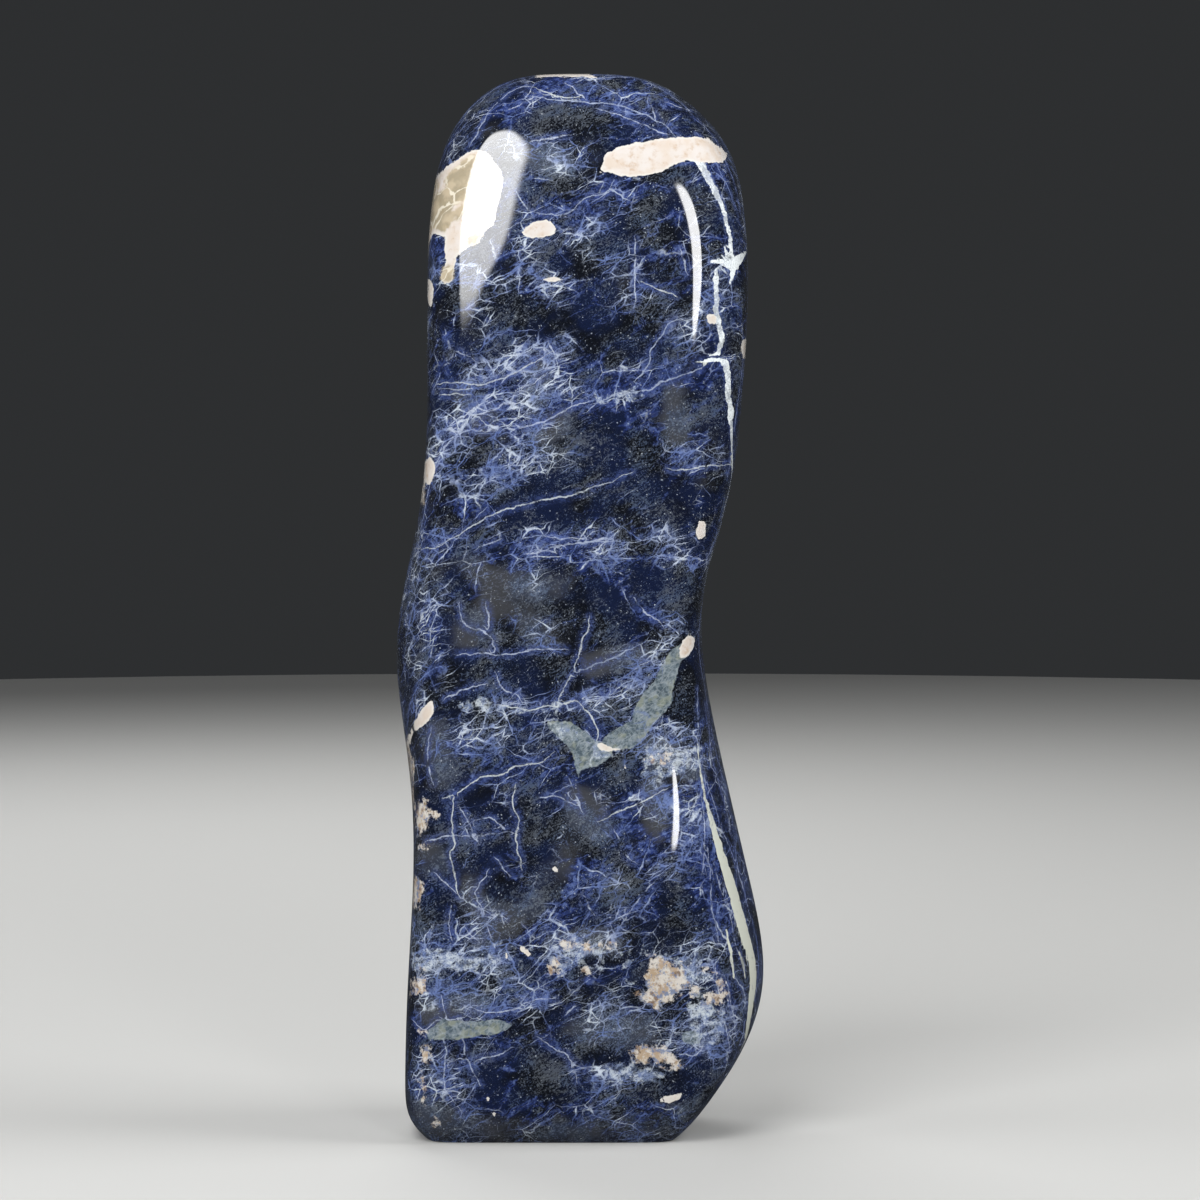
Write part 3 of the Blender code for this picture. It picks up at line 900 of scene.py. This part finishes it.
wide_cells = cells(BELT_SLANT, 13.0, 6.5, 0)
fine_cells = cells((-0.36, 0.25, 0.9), 6.0, 2.6, 3)
tiny_cells = cells((-0.50, 0.2, 0.85), 2.8, 1.2, 7)
belt = times(minus(belts, 0.5), 2.0)
blueness = plus(times(minus(puffs, 0.5), 3.0), belt, times(blue_zone, 1.1), times(dark_zone, -0.7),
                times(haze_and_reflection_zone, -0.7), -0.40)
netness = plus(times(net_zone, 0.9), times(minus(patches[0], 0.5), 2.2), times(belt, 0.5),
               times(dark_zone, -0.4))

wide_rim = rise(minus(plus(0.35, times(blueness, 1.3)), wide_cells), -0.7, 0.5)
fine_rim = rise(minus(plus(times(netness, 0.45), times(blueness, 0.35), -0.05), fine_cells), -0.35, 0.25)
blue_share = times(maths("MAXIMUM", wide_rim, fine_rim), plus(0.20, times(rise(clots, 0.36, 0.62), 0.80)))

dust = plus(times(grain, 0.55), times(clots, 0.20), times(fibre, 0.25))
fleck = rise(plus(dust, times(minus(patches[1], 0.5), 0.35)), 0.495, 0.60)
# The veil: grey laid over the ground by cloud noise and by the haze zone, which holds painted reflections
veil_and_reflection = plus(haze_and_reflection_zone, times(minus(cloud(drifted, 9, 3), 0.5), 1.6), times(dark_zone, -0.4), -0.12)
veil_and_reflection_share = rise(veil_and_reflection, 0.0, 1.0)
ground = mixed(rise(plus(patches[2], times(puffs, 0.5)), 0.6, 0.9), NEAR_BLACK, BLACK_BLUE)
ground = mixed(times(veil_and_reflection_share, 0.85), ground, mixed(rise(patches[1], 0.4, 0.6), VEIL_AND_REFLECTION_GREY, VEIL_AND_REFLECTION_BLUE))
blue_stone = mixed(rise(plus(fibre, times(puffs, 0.5)), 0.62, 0.86), DEEP_BLUE, ROYAL_BLUE)
blue_stone = mixed(rise(plus(clots, times(grain, 0.4)), 0.74, 0.92), blue_stone, CLEAR_BLUE)
ground = mixed(blue_share, ground, blue_stone)
fleck_colour = mixed(blue_share, mixed(rise(puffs, 0.4, 0.6), FLECK_GREY, FLECK_STEEL), FLECK_BLUE)
ground = mixed(times(fleck, plus(0.55, times(veil_and_reflection_share, 0.3))), ground, fleck_colour)
frost = plus(times(streaks(crooked, (-0.3, 0.3, 0.9), 1.6, 0.45, 3, 0.7), 0.6), times(grain, 0.4))
frost_share = times(rise(frost, 0.51, 0.60), rise(plus(netness, times(veil_and_reflection_share, 0.3)), 0.0, 0.9), 0.6)
ground = mixed(frost_share, ground, FROST)
specks = node("TexVoronoi", {"Vector": crooked, "Scale": 1 / 0.8, "Randomness": 1.0}).node.outputs
speck_size = node("SeparateXYZ", {"Vector": specks[1]})
sparks = rise(minus(times(rise(speck_size, 0.35, 1.0), 0.26), specks[0]), -0.06, 0.10)
ground = mixed(times(sparks, rise(clots, 0.35, 0.60), 0.8), ground, SPARK)


# Joints: the edges of the cells, healed pale. They swell, thin out and stop. Longer and straighter cracks
# run through them, most of them up to the right.
JOINT_BREATH = (0.13, 0.17, 0.31)
JOINT_BLUE = (0.12, 0.17, 0.36)
JOINT_WHITE = (0.54, 0.60, 0.68)
# Sets of cracks: how they lean in degrees, how they slope inwards, their spacing, and how rarely they show
CRACK_SETS = (
    (20, 0.3, 5.0, 0.58), (38, -0.2, 7.0, 0.60), (-28, 0.3, 9.0, 0.62), (78, 0.4, 8.0, 0.60),
    (112, -0.2, 11.0, 0.61),
)
swelling = cloud(moved(place, (5, 1, 8)), 3.0, 3, 0.6)
fading = cloud(moved(place, (9, 4, 2)), 7.0, 2)


def healed(edge, share, width):
    """A pale line along the edge, as wide as that where the share is full, and how much it shows."""
    half = times(rise(swelling, 0.34, 0.76), rise(share, 0.0, 1.0), width)
    return times(rise(minus(half, edge), -0.10, 0.05), rise(share, 0.0, 0.5))


def cracks(lean, inwards, spacing, patch, shows_from):
    upright = Vector((-sin(radians(lean)), inwards, cos(radians(lean)))).normalized()
    along = node("VectorMath", {0: crooked, 1: upright / spacing}, output=1, operation="DOT_PRODUCT")
    number = maths("FLOOR", along)
    middle = node("TexWhiteNoise", {"W": number}, noise_dimensions="1D")
    away = times(off_middle(plus(minus(along, number), times(middle, 0.5), -0.25)), spacing)
    patchy = {"Vector": place, "W": plus(times(number, 3.7), lean), "Scale": 1 / 13.0, "Detail": 2.0}
    shows = node("TexNoise", patchy, noise_dimensions="4D")
    return away, rise(plus(shows, patch), shows_from, shows_from + 0.14)


wide_share = plus(0.30, times(netness, 0.8), times(blueness, 0.25))
fine_share = plus(-0.05, netness)
tiny_share = plus(-0.55, times(netness, 1.1))
breath = times(rise(fine_cells, 0.9, 0.0), rise(netness, 0.2, 1.0), rise(dust, 0.42, 0.60), 0.55)
ground = mixed(breath, ground, JOINT_BREATH)
joint_mask = healed(wide_cells, wide_share, 0.21)
joint_mask = maths("MAXIMUM", joint_mask, healed(fine_cells, fine_share, 0.19))
joint_mask = maths("MAXIMUM", joint_mask, times(healed(tiny_cells, tiny_share, 0.07), 0.5))
crack_patch = times(netness, 0.10)
for lean, inwards, spacing, shows_from in CRACK_SETS:
    away, shows = cracks(lean, inwards, spacing, crack_patch, shows_from)
    joint_mask = maths("MAXIMUM", joint_mask, times(healed(away, 1.0, 0.14), shows, 0.8))
pale = mixed(rise(fading, 0.40, 0.64), JOINT_BLUE, JOINT_WHITE)
joint_mask = times(joint_mask, plus(0.42, times(rise(grain, 0.34, 0.54), 0.48)))
colour = mixed(joint_mask, ground, pale)

# Veins: healed cracks, as wide as the mesh keeps them and a little crooked, in a breath of blue
VEIN_BREATH = (0.055, 0.085, 0.25)
FINE_BLUE = (0.10, 0.17, 0.42)
FINE_WHITE = (0.60, 0.65, 0.74)
BOLD_BLUE = (0.10, 0.16, 0.38)
BOLD_GREEN = (0.62, 0.64, 0.56)
BOLD_WHITE = (0.74, 0.79, 0.80)
WIDEST_PLAY = 1.5  # how far a vein's width may vary, in millimetres
frayed = times(minus(cloud(place, 0.9, 2), 0.5), 0.7)
crook = times(minus(cloud(place, 2.8, 1), 0.5), 1.5)
gaps = node("SeparateXYZ", {"Vector": cloud(place, 2.6, 2, output=1)})
uneven = cloud(place, 1.5, 3, 0.65)
strength = cloud(moved(place, (3, 3, 3)), 5.0, 3, 0.65)


def vein_mask(name, gap_low, gap_high, bend):
    line = node("SeparateXYZ", {"Vector": kept(name + "_line", 1)}).node
    off_line = maths("ABSOLUTE", plus(times(plus(frayed, crook), bend), line.outputs[0]))
    play = maths("MINIMUM", times(line.outputs[2], 1.75), WIDEST_PLAY)
    half = plus(times(line.outputs[2], 0.76), times(minus(uneven, 0.5), play))
    edge = rise(minus(half, off_line), -0.11, 0.07)
    end = rise(minus(plus(half, 0.9), line.outputs[1]), -0.3, 0.3)
    thin = rise(plus(times(strength, 0.5), times(grain, 0.5)), 0.42, 0.56)
    body = maths("MAXIMUM", rise(half, 0.9, 1.6), plus(0.45, times(thin, 0.55)))
    halo = times(rise(line.outputs[1], 2.4, 0.1), rise(gaps, 0.25, 0.6))
    return times(edge, end, rise(gaps, gap_low, gap_high), body), halo


fine_mask, fine_halo = vein_mask("fine", 0.30, 0.52, 0.8)
bold_mask, bold_halo = vein_mask("bold", 0.22, 0.36, 0.75)
fine_white, bold_white = kept("fine_white"), kept("bold_white")
halo = maths("MAXIMUM", fine_halo, bold_halo)
colour = mixed(times(halo, rise(dust, 0.36, 0.58), 0.6), colour, VEIN_BREATH)
colour = mixed(times(fine_mask, 0.65), colour, mixed(fine_white, FINE_BLUE, FINE_WHITE))
bold_colour = mixed(times(bold_white, 1.2), BOLD_BLUE, BOLD_GREEN)
bold_colour = mixed(rise(bold_white, 0.88, 1.0), bold_colour, BOLD_WHITE)
colour = mixed(times(bold_mask, 0.95), colour, bold_colour)

# Inclusions: cream feldspar with tan stains, crumbly stained feldspar, milky clouds and grey-green altered
# stone. Each fades in over a worn edge.
CREAM = (0.60, 0.56, 0.53)
CREAM_WARM = (0.57, 0.49, 0.42)
CREAM_DARK = (0.50, 0.395, 0.31)
CREAM_RIM = (0.64, 0.62, 0.58)
TAN_OLIVE = (0.28, 0.235, 0.15)
TAN = (0.42, 0.35, 0.24)
TAN_LINE = (0.62, 0.57, 0.47)
STAIN_TAN = (0.40, 0.30, 0.20)
STAIN_CREAM = (0.60, 0.56, 0.51)
STAIN_BROWN = (0.15, 0.09, 0.055)
STAIN_BLUE = (0.12, 0.17, 0.30)
MILK_BLUE = (0.17, 0.22, 0.36)
MILK_WHITE = (0.50, 0.55, 0.59)
GREY_DARK = (0.060, 0.086, 0.105)
GREY_PALE = (0.200, 0.240, 0.270)
GREY_OLIVE = (0.20, 0.225, 0.19)
GREY_SPOT = (0.05, 0.07, 0.09)
GREY_LINE = (0.36, 0.40, 0.42)
edge_wear = plus(frayed, times(minus(cloud(place, 3.5, 2), 0.5), 1.6))
clot_wear = minus(clots, 0.5)
grain_wear = minus(grain, 0.5)
stains = cloud(moved(place, (1, 2, 3)), 4.0, 3)
cream_mask = rise(plus(kept("cream"), edge_wear), -0.12, 0.12)
tan_mask = rise(plus(kept("tan"), times(edge_wear, 2.0)), -0.5, 0.7)
grey_mask = rise(plus(kept("grey"), edge_wear), -0.16, 0.16)
stained_wear = plus(times(edge_wear, 1.8), times(clot_wear, 5.0), times(grain_wear, 2.0))
stained_mask = rise(plus(kept("stained"), stained_wear), -0.4, 0.7)
milky_mask = rise(plus(kept("milky"), times(edge_wear, 2.5), times(clot_wear, 6.0)), -0.3, 1.2)
holes = rise(minus(fine_cells, times(clot_wear, 1.5)), 0.15, 0.75)
milky_mask = times(milky_mask, plus(1.0, times(holes, -0.8)))
cream_stone = mixed(rise(stains, 0.35, 0.70), CREAM, CREAM_WARM)
cream_stone = mixed(rise(cloud(place, 2.2, 4, 0.65), 0.50, 0.70), cream_stone, CREAM_DARK)
rim = rise(plus(kept("cream"), edge_wear), 0.9, 0.1)
cream_stone = mixed(times(rim, 0.7), cream_stone, CREAM_RIM)
tan_stone = mixed(rise(stains, 0.40, 0.62), TAN_OLIVE, TAN)
mottles = node("SeparateXYZ", {"Vector": cloud(place, 2.6, 4, 0.6, output=1)}).node.outputs
brown_spots = rise(mottles[1], 0.54, 0.66)
blue_spots = rise(plus(mottles[2], times(grain_wear, 0.5)), 0.52, 0.62)
stained_stone = mixed(rise(plus(mottles[0], times(grain_wear, 0.5)), 0.38, 0.56), STAIN_TAN, STAIN_CREAM)
stained_stone = mixed(times(brown_spots, 0.85), stained_stone, STAIN_BROWN)
stained_stone = mixed(times(blue_spots, 0.85), stained_stone, STAIN_BLUE)
grey_stone = mixed(rise(cloud(place, 1.5, 5, 0.7), 0.38, 0.62), GREY_DARK, GREY_PALE)
grey_stone = mixed(rise(cloud(moved(place, (4, 4, 4)), 4, 3), 0.50, 0.62), grey_stone, GREY_OLIVE)
grey_stone = mixed(times(brown_spots, 0.5), grey_stone, GREY_SPOT)
grey_stone = mixed(times(healed(tiny_cells, 1.0, 0.16), 0.35), grey_stone, GREY_LINE)
milky_stone = mixed(rise(plus(mottles[0], times(grain_wear, 0.8)), 0.42, 0.60), MILK_BLUE, MILK_WHITE)
colour = mixed(times(grey_mask, plus(0.93, times(joint_mask, -0.5))), colour, grey_stone)
colour = mixed(times(milky_mask, rise(dust, 0.36, 0.52), 0.72), colour, milky_stone)
colour = mixed(cream_mask, colour, cream_stone)
colour = mixed(times(tan_mask, 0.9), colour, tan_stone)
colour = mixed(times(tan_mask, healed(wide_cells, 1.0, 0.45)), colour, TAN_LINE)
colour = mixed(times(stained_mask, 0.92), colour, stained_stone)

# The polish: high on the sodalite, and a little softer on the feldspar and the altered stone
POLISH_ROUGHNESS = 0.025
SODALITE_IOR = 1.48
POLISH_SHINE = 0.95
soft_stone = maths("MAXIMUM", cream_mask, maths("MAXIMUM", grey_mask, bold_mask))
roughness = plus(POLISH_ROUGHNESS, times(soft_stone, 0.05), times(cloud(place, 5, 3), 0.03))
wires.new(colour, surface.inputs["Base Color"])
wires.new(roughness, surface.inputs["Roughness"])
surface.inputs["IOR"].default_value = SODALITE_IOR
surface.inputs["Specular IOR Level"].default_value = POLISH_SHINE
stone_mesh.materials.clear()
stone_mesh.materials.append(finish)

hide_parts("sodalite")
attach(stone, "root")

# The studio: a plain pale floor, a large soft box high on the left, a slim one on the right, three lamps that
# fill in the sides and the back, and a dim room. The stone's gloss mirrors only the two soft boxes, and
# their cloth is lit in the shape that the photograph's reflections have.
FLOOR_RADIUS = 1.3
FLOOR_MIDDLE = (0, 0.45, 0)
FLOOR_GREY = (0.46, 0.46, 0.45, 1)
floor_mesh = bpy.data.meshes.new("floor")
slab = bmesh.new()
bmesh.ops.create_circle(slab, cap_ends=True, segments=96, radius=FLOOR_RADIUS)
bmesh.ops.translate(slab, verts=slab.verts, vec=FLOOR_MIDDLE)
slab.to_mesh(floor_mesh)
slab.free()
floor = bpy.data.objects.new("floor", floor_mesh)
bpy.context.scene.collection.objects.link(floor)
floor_finish = bpy.data.materials.new("pale_floor")
floor_finish.use_nodes = True
floor_surface = floor_finish.node_tree.nodes["Principled BSDF"]
floor_surface.inputs["Base Color"].default_value = FLOOR_GREY
floor_surface.inputs["Roughness"].default_value = 0.75
floor_mesh.materials.append(floor_finish)
floor.visible_glossy = False

LAMP_DISTANCE = 1.25
# Fills: the name, the turn from the front in degrees, and the radiance
FILLS = (("right fill", 82, 6.5), ("back fill", 195, 5.0), ("left fill", 280, 2.5))
FILL_HEIGHT = 35  # degrees
FILL_SIZE = 0.8
stone_middle = Vector((0, 0, 150)) * MM


def lamp(name, turn, height, across, up, wide, high, radiance):
    """A soft box that faces the stone from LAMP_DISTANCE, at that turn from the front and that height in
    degrees, then shifted in its own plane by across and up, in metres."""
    light = bpy.data.lights.new(name, "AREA")
    light.shape = "RECTANGLE"
    light.size = wide
    light.size_y = high
    light.energy = radiance * wide * high * pi
    held = bpy.data.objects.new(name, light)
    level = cos(radians(height))
    towards = Vector((sin(radians(turn)) * level, -cos(radians(turn)) * level, sin(radians(height))))
    facing_stone = towards.to_track_quat("Z", "Y")
    held.location = stone_middle + towards * LAMP_DISTANCE + facing_stone @ Vector((across, up, 0))
    held.rotation_euler = facing_stone.to_euler()
    held.visible_camera = False
    bpy.context.scene.collection.objects.link(held)
    return held


def masked(held, squareness, slimness=1.0, off=0.0, slope=0.0, bend=0.0, fade=0.0):
    """Cover the soft box except for a rounded patch of its cloth, which the stone mirrors. The patch may be
    slimmer than the box, off its middle, sloping and bent, and it is dimmer below by the fade."""
    held.data.use_nodes = True
    cloth = held.data.node_tree

    def step(operation, *values):
        made = cloth.nodes.new("ShaderNodeMath")
        made.operation = operation
        for socket, value in enumerate(values):
            if isinstance(value, bpy.types.NodeSocket):
                cloth.links.new(value, made.inputs[socket])
            else:
                made.inputs[socket].default_value = value
        return made.outputs[0]

    spot = cloth.nodes.new("ShaderNodeSeparateXYZ")
    cloth.links.new(cloth.nodes.new("ShaderNodeNewGeometry").outputs["Parametric"], spot.inputs[0])
    sideways = step("MULTIPLY_ADD", spot.outputs[0], 2.0, -1.0)
    upwards = step("MULTIPLY_ADD", spot.outputs[1], 2.0, -1.0)
    middle = step("MULTIPLY_ADD", upwards, step("MULTIPLY_ADD", upwards, bend, slope), off)
    from_middle = step("MULTIPLY", step("ABSOLUTE", step("SUBTRACT", sideways, middle)), slimness)
    wide_power = step("POWER", from_middle, squareness)
    outwards = step("ADD", wide_power, step("POWER", step("ABSOLUTE", upwards), squareness))
    edge = cloth.nodes.new("ShaderNodeMapRange")
    edge.interpolation_type = "SMOOTHSTEP"
    cloth.links.new(outwards, edge.inputs["Value"])
    edge.inputs["From Min"].default_value = 1.0
    edge.inputs["From Max"].default_value = 0.7
    bright = step("MULTIPLY", edge.outputs[0], step("MULTIPLY_ADD", upwards, fade / 2, 1 - fade / 2))
    cloth.links.new(bright, cloth.nodes["Emission"].inputs["Strength"])


left_box = lamp(
    "left soft box", turn=-22, height=29, across=-0.03, up=0.125, wide=0.70, high=1.16, radiance=11.0,
)
masked(left_box, squareness=3.5, fade=0.42)
right_strip = lamp(
    "right strip", turn=13.5, height=17, across=0.03, up=0.08, wide=0.36, high=0.78, radiance=12.0,
)
masked(right_strip, squareness=2.6, slimness=2.3, off=0.2, slope=-0.28, bend=-0.5)
for name, turn, radiance in FILLS:
    lamp(name, turn, FILL_HEIGHT, 0, 0, FILL_SIZE, FILL_SIZE, radiance).visible_glossy = False
room = bpy.data.worlds.new("room")
room.use_nodes = True
room_light = room.node_tree.nodes["Background"]
room_light.inputs["Color"].default_value = (0.9, 0.95, 1.0, 1)
room_light.inputs["Strength"].default_value = 0.03
bpy.context.scene.world = room
bpy.context.scene.view_settings.view_transform = "Standard"
